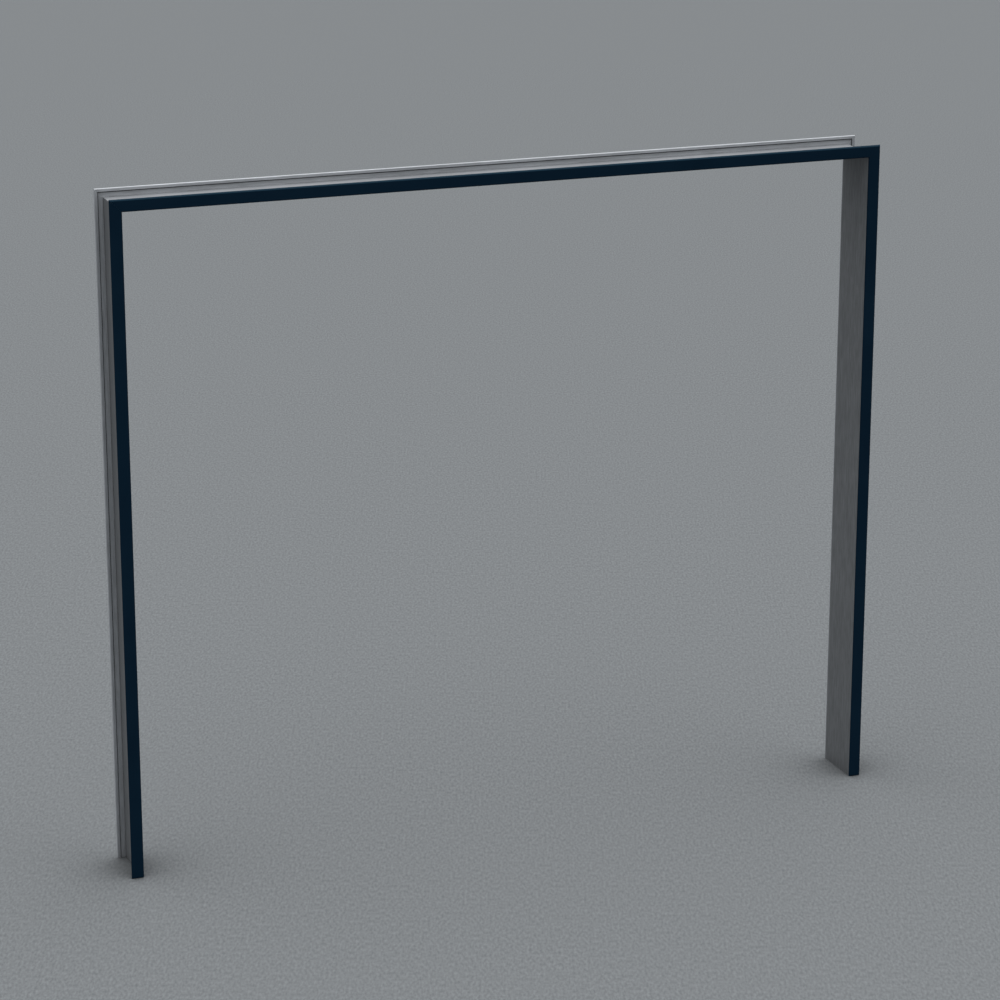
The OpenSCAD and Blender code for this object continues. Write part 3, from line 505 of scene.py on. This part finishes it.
# Here x is the distance from the frame's middle and z is from TUNING_MID_Z.
TUNING_ZONES = (
    ("socket_moulding", ANY, ANY, (48, INF)),
    ("socket_moulding", ANY, (-INF, -21), (-15, 15)),
    ("capacitor_can", ANY, ANY, (14, INF)),
    ("ceramic_chip", ANY, ANY, ANY),
)


def zone_finish(zones, *point):
    for finish, *ranges in zones:
        if all(low < value < high for value, (low, high) in zip(point, ranges)):
            return finish


def controller_face(middle):
    """The finish of a face of the controller board, from where its middle lies."""
    depth = (board_underside - middle.z) * 1000
    if depth < FACE_TOLERANCE:
        return "board_laminate"
    return zone_finish(CONTROLLER_ZONES, middle.x * 1000, middle.y * 1000, depth)


def tuning_face_finish(middle):
    x = abs(middle.x) * 1000
    if x > tuning_face - FACE_TOLERANCE:
        return "board_laminate"
    return zone_finish(TUNING_ZONES, x, middle.y * 1000, middle.z * 1000 - TUNING_MID_Z)


def led_face(middle):
    if middle.z < soffit + LED_TOP:
        return "led_moulding"
    return "grey_plastic" if middle.z > soffit + LED_BOARD_TOP else "board_laminate"


FINISH_BY_FACE = {"controller_board": controller_face, "tuning_board_left": tuning_face_finish,
                  "tuning_board_right": tuning_face_finish, "alarm_led_board": led_face}


def assign_finish(name, mesh):
    while mesh.materials:
        mesh.materials.pop()
    mesh.materials.append(finish_of(name))
    indices = [0] * len(mesh.polygons)
    if name in FINISH_BY_FACE:
        used = {"board_laminate": 0}
        for number, face in enumerate(mesh.polygons):
            finish = FINISH_BY_FACE[name](face.center)
            if finish not in used:
                used[finish] = len(used)
                mesh.materials.append(MATERIALS[finish])
            indices[number] = used[finish]
    mesh.polygons.foreach_set("material_index", indices)


def round_edges(piece, width):
    """Merge the flat faces, round the edges and shade the result cleanly."""
    mesh = piece.data
    mesh.polygons.foreach_set("use_smooth", [True] * len(mesh.polygons))
    if "custom_normal" in mesh.attributes:
        mesh.attributes.remove(mesh.attributes["custom_normal"])
    weld = piece.modifiers.new("weld", "WELD")
    weld.merge_threshold = 0.000002
    planes = piece.modifiers.new("planes", "DECIMATE")
    planes.decimate_type = "DISSOLVE"
    planes.angle_limit = math.radians(0.4)
    planes.delimit = {"MATERIAL"}
    bevel = piece.modifiers.new("soft_edges", "BEVEL")
    bevel.width = width
    bevel.segments = 2
    bevel.limit_method = "ANGLE"
    bevel.angle_limit = math.radians(40)
    bevel.use_clamp_overlap = True
    normals = piece.modifiers.new("normals", "WEIGHTED_NORMAL")
    normals.keep_sharp = False
    normals.weight = 50


for name, piece in frame["nodes"].items():
    assign_finish(name, piece.data)
    round_edges(piece, EDGE_ROUNDING.get(slot_of[name], OTHER_ROUNDING))


# ---------------------------------------------------------------- mesh helpers

def band(bm, lower, upper, material=0, smooth=True):
    """Join two closed loops of vertices with a band of faces."""
    count = len(lower)
    for i in range(count):
        j = (i + 1) % count
        face = bm.faces.new((lower[i], lower[j], upper[j], upper[i]))
        face.smooth = smooth
        face.material_index = material


def new_object(name, bm, materials):
    mesh = bpy.data.meshes.new(name)
    bm.to_mesh(mesh)
    bm.free()
    for key in materials:
        mesh.materials.append(MATERIALS[key])
    made = bpy.data.objects.new(name, mesh)
    bpy.context.scene.collection.objects.link(made)
    return made


def add_part(name, bm, materials):
    """Turn a closed mesh into an object that belongs to the frame."""
    bmesh.ops.recalc_face_normals(bm, faces=bm.faces)
    part = new_object(name, bm, materials)
    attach(part, "frame")


# ---------------------------------------------------------------- loose wiring in the head (mm)

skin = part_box("web_skin_head")[0].z * 1000    # inner face of the head's skin
board = board_underside * 1000                # underside of the controller board

PATH_STEP = 2.5       # aimed length of a step along a wire
PATH_TENSION = 0.85
WIRE_SIDES = 10
# distance beyond the end of the sleeve, share of the wire's radius, tinned
WIRE_END = ((2.2, 0.46, True), (1.1, 0.52, True), (0.0, 0.52, True), (0.0, 0.9, False),
            (-0.15, 1.0, False))
JOINT_SIDES = 14
JOINT_RADIUS, JOINT_HEIGHT = 1.25, 1.35
JOINT_BEYOND = 1.6    # from the end of the sleeve to the middle of the joint
JOINT_REACH = 1.2     # a wire that ends this close under the board is soldered
# shares of the joint's radius and height, from the board down
JOINT_PROFILE = ((1, 0.0), (0.86, 0.12), (0.6, 0.38), (0.42, 0.7), (0.28, 0.94), (0.12, 1))

# name, radius, sleeve, points along the middle
WIRES = (
    ("wire_neutral", 0.8, "wire_blue", (
        (183, -20, skin - 4), (190, -20.5, skin - 3.6), (193.5, -24, skin - 2.4),
        (190, -30, skin - 1.6), (180, -33, skin - 1.5), (166, -38, skin - 1.5),
        (152, -41.6, skin - 1.5), (140, -42, skin - 1.5), (60, -42, skin - 1.5),
        (-60, -42, skin - 1.5), (-140, -42, skin - 1.5), (-154, -40.5, skin - 1.5),
        (-162, -30, skin - 1.6), (-164, -18, skin - 2.0), (-167.5, -12.4, skin - 2.4))),
    ("wire_live", 0.8, "wire_brown", (
        (183, 0, skin - 4), (189.5, 0.5, skin - 3.6), (193, 4.5, skin - 2.4),
        (189, 9.5, skin - 1.6), (178, 14, skin - 1.5), (164, 30, skin - 1.5),
        (154, 43, skin - 1.5), (142, 45.6, skin - 1.5), (60, 45.6, skin - 1.5),
        (-60, 45.6, skin - 1.5), (-142, 45.6, skin - 1.5), (-155, 42, skin - 1.5),
        (-162, 28, skin - 1.5), (-163.5, 8, skin - 1.8), (-167.5, -3.6, skin - 2.4))),
    ("wire_switched_live", 0.7, "wire_brown", (
        (-177, 2.4, skin - 2.6), (-174, 6.5, skin - 3.2), (-166, 9, skin - 4.2),
        (-156, 8.4, board - 1.2), (-149, 7.2, board - 1.0), (-145.5, 7, board - 0.85))),
    ("wire_switched_neutral", 0.7, "wire_blue", (
        (-177, -18.4, skin - 2.6), (-174, -22, skin - 3.2), (-166, -23, skin - 4.2),
        (-156, -19, board - 1.2), (-149, -17.2, board - 1.0), (-145.5, -17, board - 0.85))),
    ("wire_tamper_a", 0.45, "wire_black", (
        (-3, -43.4, skin - 3.4), (-3.2, -41, skin - 3.8), (-3, -36.4, board - 0.7),
        (-3, -33.6, board - 0.6))),
    ("wire_tamper_b", 0.45, "wire_red", (
        (3, -43.4, skin - 3.4), (3.3, -41, skin - 3.8), (3, -36.4, board - 0.7),
        (3, -33.6, board - 0.6))),
    ("wire_sounder_a", 0.6, "wire_red", (
        (403.6, -17, skin - 3.5), (396, -18, skin - 4), (380, -30, skin - 4.6),
        (360, -34.5, skin - 4.8), (230, -35, skin - 4.8), (172, -35, skin - 4.8),
        (158, -29, skin - 4.8), (150, -24.6, board - 0.9), (145.5, -24, board - 0.75))),
    ("wire_sounder_b", 0.6, "wire_black", (
        (403.6, -23, skin - 3.5), (397, -24.5, skin - 4), (380, -33, skin - 4.6),
        (360, -36.3, skin - 4.8), (230, -36.8, skin - 4.8), (172, -36.8, skin - 4.8),
        (158, -33, skin - 4.8), (150, -28, board - 0.9), (145.5, -27.4, board - 0.75))),
    ("wire_lamp_a", 0.5, "wire_red", (
        (-407.6, -16.5, skin - 4.5), (-400, -18, skin - 4.6), (-384, -30, skin - 4.7),
        (-364, -33.4, skin - 4.8), (-230, -34, skin - 4.8), (-172, -34, skin - 4.8),
        (-158, -32, skin - 4.8), (-150, -27.4, board - 0.8), (-145.5, -27, board - 0.65))),
    ("wire_lamp_b", 0.5, "wire_black", (
        (-407.6, -23.5, skin - 4.5), (-400, -24.5, skin - 4.6), (-384, -32, skin - 4.7),
        (-364, -35, skin - 4.8), (-230, -35.6, skin - 4.8), (-172, -35.6, skin - 4.8),
        (-158, -34.6, skin - 4.8), (-150, -31, board - 0.8), (-145.5, -30.4, board - 0.65))),
)


def smooth_path(points):
    """A smooth path through the points, in short steps."""
    points = [Vector(point) for point in points]
    ends = points[0] * 2 - points[1], points[-1] * 2 - points[-2]
    extended = [ends[0], *points, ends[1]]
    path = []
    for before, start, end, after in zip(extended, points, points[1:], extended[3:]):
        span = (end - start).length
        leave = (end - before).normalized() * span * PATH_TENSION
        arrive = (after - start).normalized() * span * PATH_TENSION
        steps = max(2, min(14, int(span / PATH_STEP)))
        for i in range(steps):
            t = i / steps
            u = 1 - t
            path.append(start * (u * u * (1 + 2 * t)) + leave * (t * u * u)
                        + end * (t * t * (3 - 2 * t)) - arrive * (u * t * t))
    path.append(points[-1])
    return path


def wire(name, radius, sleeve_name, points):
    """A round wire along the points, with a tinned conductor standing out of each end."""
    path = smooth_path(points)
    start_out = (path[0] - path[1]).normalized()
    end_out = (path[-1] - path[-2]).normalized()

    def end_rings(tip, outward):
        return [(tip + outward * beyond, radius * share, tinned)
                for beyond, share, tinned in WIRE_END]

    rings = end_rings(path[0], start_out)
    rings += [(point, radius, False) for point in path[1:-1]]
    rings += reversed(end_rings(path[-1], end_out))
    bm = bmesh.new()
    loops = []
    side = start_out.orthogonal().normalized()
    for k, (centre, ring_radius, _) in enumerate(rings):
        if k < len(WIRE_END):
            heading = -start_out
            if k == 0:
                side = heading.orthogonal().normalized()
        elif k >= len(rings) - len(WIRE_END):
            heading = end_out
        else:
            heading = (rings[k + 1][0] - rings[k - 1][0]).normalized()
        side = (side - heading * side.dot(heading)).normalized()
        up = heading.cross(side)
        angles = [2 * math.pi * i / WIRE_SIDES for i in range(WIRE_SIDES)]
        loops.append([bm.verts.new((centre + (side * math.cos(angle) + up * math.sin(angle))
                                    * ring_radius) * MM) for angle in angles])
    for k in range(len(loops) - 1):
        band(bm, loops[k], loops[k + 1], material=int(rings[k][2] and rings[k + 1][2]))
    for loop in (loops[0][::-1], loops[-1]):
        bm.faces.new(loop).material_index = 1
    add_part(name, bm, (sleeve_name, "solder_joint"))


def solder_joint(name, x, y):
    """A low cone with a hollow flank, on the underside of the board."""
    bm = bmesh.new()
    angles = [2 * math.pi * i / JOINT_SIDES for i in range(JOINT_SIDES)]
    loops = [[bm.verts.new(((x + width * JOINT_RADIUS * math.cos(angle)) * MM,
                            (y + width * JOINT_RADIUS * math.sin(angle)) * MM,
                            (board - drop * JOINT_HEIGHT) * MM)) for angle in angles]
             for width, drop in JOINT_PROFILE]
    for lower, upper in zip(loops, loops[1:]):
        band(bm, lower, upper)
    bm.faces.new(loops[0])
    bm.faces.new(loops[-1][::-1])
    add_part(name, bm, ("solder_joint",))


joints = []
for name, radius, sleeve_name, points in WIRES:
    wire(name, radius, sleeve_name, points)
    if board - JOINT_REACH < points[-1][2] < board:
        end, before = Vector(points[-1]), Vector(points[-2])
        joint = end + (end - before).normalized() * JOINT_BEYOND
        joints.append(joint)
        solder_joint(name.replace("wire_", "joint_"), joint.x, joint.y)


# ---------------------------------------------------------------- small parts on the board (mm)

SMALL_MATERIALS = ("chip_moulding", "ceramic_chip", "solder_joint")
DARK, CERAMIC, SOLDER = range(3)

CHIP_X, CHIP_HALF = -2, 14           # the square chip, centred on y = 0
CHIP_LEADS, CHIP_PITCH = 14, 1.8     # on each side
PACKAGES_X = (-112, -88, -64)        # packages with three leads on their +y side
CANS_X = (-104, -86, -68, -50)
GRID_X, GRID_Y = 3.0, 3.1            # the places a chip part may take
# upper limit of the draw, width, depth, height, body
CHIP_PARTS = ((0.10, 2.0, 1.25, 0.55, DARK), (0.20, 1.6, 0.8, 0.4, DARK),
              (0.30, 1.6, 0.85, 0.75, CERAMIC))
# low x, low y, high x, high y of the areas without chip parts
CLEAR_AREAS = [(-20, -18, 16, 18), (76, -29, 116, 9), (24, -24, 60, -12), (137, 11, 151, 26),
               (-151, 11, -137, 26), (55, 15, 65, 25)]
CLEAR_AREAS += [(x - 3, -27, x + 19, 11) for x in PACKAGES_X]
CLEAR_AREAS += [(x - 8, 16, x + 8, 32) for x in CANS_X]
CLEAR_AREAS += [(x - 16, low, x + 16, high) for x in (-150, 150)
                for low, high in ((-39, -24), (27, 43))]
CLEAR_AREAS += [(joint.x - 4, joint.y - 4, joint.x + 4, joint.y + 4) for joint in joints]


def board_vertex(bm, x, y, heading, along, across, height):
    """A vertex off (x, y), turned to the heading, at a height off the board's underside."""
    dx, dy = heading
    return bm.verts.new(((x + dx * along - dy * across) * MM,
                         (y + dy * along + dx * across) * MM, (board - height) * MM))


def chip_part(bm, x, y, heading, width, depth, height, body):
    """A two-ended chip part: body in the middle, metal cap at each end."""
    cap = 0.22 * width
    inset = 0.03      # of the body, from the caps
    chamfer = 0.07

    def block(start, end, half, top, material):
        rows = [[board_vertex(bm, x, y, heading, along, across, level)
                 for along, across in ((low, -side), (high, -side), (high, side), (low, side))]
                for low, high, side, level in (
                    (start, end, half, 0.0), (start, end, half, top - chamfer),
                    (start + chamfer, end - chamfer, half - chamfer, top))]
        for lower, upper in zip(rows, rows[1:]):
            band(bm, lower, upper, material, smooth=False)
        bm.faces.new(rows[2]).material_index = material
        bm.faces.new(rows[0][::-1]).material_index = material

    block(-width / 2 + cap, width / 2 - cap, depth / 2 - inset, height - inset, body)
    block(-width / 2, -width / 2 + cap, depth / 2, height, SOLDER)
    block(width / 2 - cap, width / 2, depth / 2, height, SOLDER)


def gull_lead(bm, x, y, heading, high, reach, width, thick=0.16):
    """One bent lead from the side of a package down to the board."""
    # distance out and height of the lead's middle line
    line = [(0.0, high), (reach * 0.34, high), (reach * 0.5, high - 0.12),
            (reach * 0.58, 0.24), (reach * 0.68, 0.1), (reach, 0.1)]
    top, low = [], []
    for k, (out, height) in enumerate(line):
        before, after = line[max(0, k - 1)], line[min(len(line) - 1, k + 1)]
        run, rise = after[0] - before[0], after[1] - before[1]
        half = thick / 2 / math.hypot(run, rise)
        for row, sign in ((top, half), (low, -half)):
            row.append([board_vertex(bm, x, y, heading, out - rise * sign, across,
                                     max(0.0, height + run * sign))
                        for across in (-width / 2, width / 2)])
    quads = []
    for k in range(len(line) - 1):
        for near, far in ((top[k], top[k + 1]), (low[k + 1], low[k])):
            quads.append((near[0], near[1], far[1], far[0]))
        quads.append((top[k][0], top[k + 1][0], low[k + 1][0], low[k][0]))
        quads.append((low[k][1], low[k + 1][1], top[k + 1][1], top[k][1]))
    quads.append((top[0][0], low[0][0], low[0][1], top[0][1]))
    quads.append((top[-1][1], low[-1][1], low[-1][0], top[-1][0]))
    for quad in quads:
        bm.faces.new(quad).material_index = SOLDER


def package_leads(bm):
    for i in range(CHIP_LEADS):
        offset = (i - (CHIP_LEADS - 1) / 2) * CHIP_PITCH
        for dx, dy in ((0, 1), (0, -1), (1, 0), (-1, 0)):
            gull_lead(bm, CHIP_X + dx * CHIP_HALF + abs(dy) * offset,
                      dy * CHIP_HALF + abs(dx) * offset, (dx, dy),
                      high=0.6, reach=1.7, width=0.5)
    for x in PACKAGES_X:
        for offset in (3.2, 8.0, 12.8):
            gull_lead(bm, x + offset, 4, (0, 1), high=0.9, reach=4.2, width=1.3, thick=0.4)
    for y in (-22, -16, -10, -4, 2):    # the wound core
        for x, dx in ((80, -1), (112, 1)):
            gull_lead(bm, x, y, (dx, 0), high=0.8, reach=2.6, width=0.9, thick=0.3)


def scattered_parts(bm):
    """Chip parts in the free areas; every grid place takes one draw."""
    seed = 7
    for column in range(-46, 47):
        for row in range(-11, 13):
            seed = (seed * 1103515245 + 12345) % 2147483648
            draw = seed / 2147483648.0
            x, y = column * GRID_X, row * GRID_Y
            if not -35 <= y <= 39 or any(
                    x0 < x < x1 and y0 < y < y1 for x0, y0, x1, y1 in CLEAR_AREAS):
                continue
            heading = (0, 1) if (column // 5 + row // 4) % 2 else (1, 0)
            for limit, *sizes in CHIP_PARTS:
                if draw < limit:
                    chip_part(bm, x, y, heading, *sizes)
                    break


small_parts = bmesh.new()
package_leads(small_parts)
scattered_parts(small_parts)
add_part("board_small_parts", small_parts, SMALL_MATERIALS)


# ---------------------------------------------------------------- floor, light, camera

FLOOR_RADII = (2.0, 4.0, 8.0, 16.0, 40.0, 120.0, 300.0)
FLOOR_SEGMENTS = 48
CAMERA_PLACE = (-3.62222, -9.62487, 4.17067)
CAMERA_YAW, CAMERA_PITCH = 0.359890, 0.290175    # radians, from +y towards +x, and down
CAMERA_VIEW = 0.30070103055                      # radians across the picture


def floor_material():
    mat = Surface("floor_plain")
    fine = mat.noise(scale=125.0, stretch=(1.0, 0.38, 1.0), detail=3, rough=0.6, turn=-0.36)
    color = mat.ramp(fine, (0.3, (0.148, 0.157, 0.163)), (0.7, (0.229, 0.241, 0.249)))
    color = mat.mix(mat.remap(mat.noise(scale=0.7, detail=3), to=(0.0, 0.15)), color,
                    (0.190, 0.2005, 0.2085))
    # painted shadow: the floor is darkened near the frame, deepening its contact shadows
    color = mat.mix(mat.cover(distance=0.26, strength=0.9, source=(0.25, 0.87)), color,
                    (0.07, 0.073, 0.076))
    mat.set(Base_Color=color, Roughness=0.95, Specular_IOR_Level=0.05,
            Normal=mat.bump(fine, strength=0.15, distance=0.0004))
    # seen from below, the floor is clear, so the underside can be looked at
    either = mat.add("MixShader")
    mat.put(either.inputs[0], mat.geometry["Backfacing"])
    mat.put(either.inputs[1], mat.shader.outputs["BSDF"])
    mat.put(either.inputs[2], mat.add("BsdfTransparent").outputs[0])
    mat.put(mat.output, either.outputs[0])


def floor():
    """A flat disc of rings that widen outward."""
    bm = bmesh.new()
    centre = bm.verts.new((0, 0, 0))
    angles = [2 * math.pi * k / FLOOR_SEGMENTS for k in range(FLOOR_SEGMENTS)]
    rings = [[bm.verts.new((radius * math.cos(angle), radius * math.sin(angle), 0))
              for angle in angles] for radius in FLOOR_RADII]
    for k in range(FLOOR_SEGMENTS):
        bm.faces.new((centre, rings[0][k], rings[0][(k + 1) % FLOOR_SEGMENTS]))
    for inner, outer in zip(rings, rings[1:]):
        for k in range(FLOOR_SEGMENTS):
            j = (k + 1) % FLOOR_SEGMENTS
            bm.faces.new((inner[k], outer[k], outer[j], inner[j]))
    floor_material()
    new_object("floor", bm, ("floor_plain",))


def studio_light():
    """A world that brightens towards the zenith."""
    world = bpy.data.worlds.new("studio")
    bpy.context.scene.world = world
    world.use_nodes = True
    sky = Nodes(world.node_tree)
    background = sky.add("Background")
    height = sky.axis(sky.add("TexCoord").outputs["Generated"], "z")
    stops = [(z, scaled((0.99, 1.0, 1.01), 0.09 + 0.91 * z ** 3))
             for z in (0.0, 0.2, 0.4, 0.6, 0.8, 1.0)]
    # seen directly, the backdrop takes the floor's tint, so that no line shows at the horizon
    seen = sky.add("LightPath").outputs["Is Camera Ray"]
    color = sky.mix(seen, sky.ramp(height, *stops), (1.012, 1.064, 1.098), "MULTIPLY")
    sky.put(background.inputs["Color"], color)
    background.inputs["Strength"].default_value = 2.75
    sky.put(sky.add("OutputWorld").inputs["Surface"], background.outputs[0])


def camera():
    data = bpy.data.cameras.new("camera")
    made = bpy.data.objects.new("camera", data)
    bpy.context.scene.collection.objects.link(made)
    made.location = CAMERA_PLACE
    made.rotation_euler = (math.pi / 2 - CAMERA_PITCH, 0.0, -CAMERA_YAW)
    data.sensor_width = 36.0
    data.sensor_fit = "HORIZONTAL"
    data.angle = CAMERA_VIEW
    data.clip_end = 1000.0
    bpy.context.scene.camera = made


floor()
studio_light()
camera()
view = bpy.context.scene.view_settings
view.view_transform = "Standard"
view.look = "None"
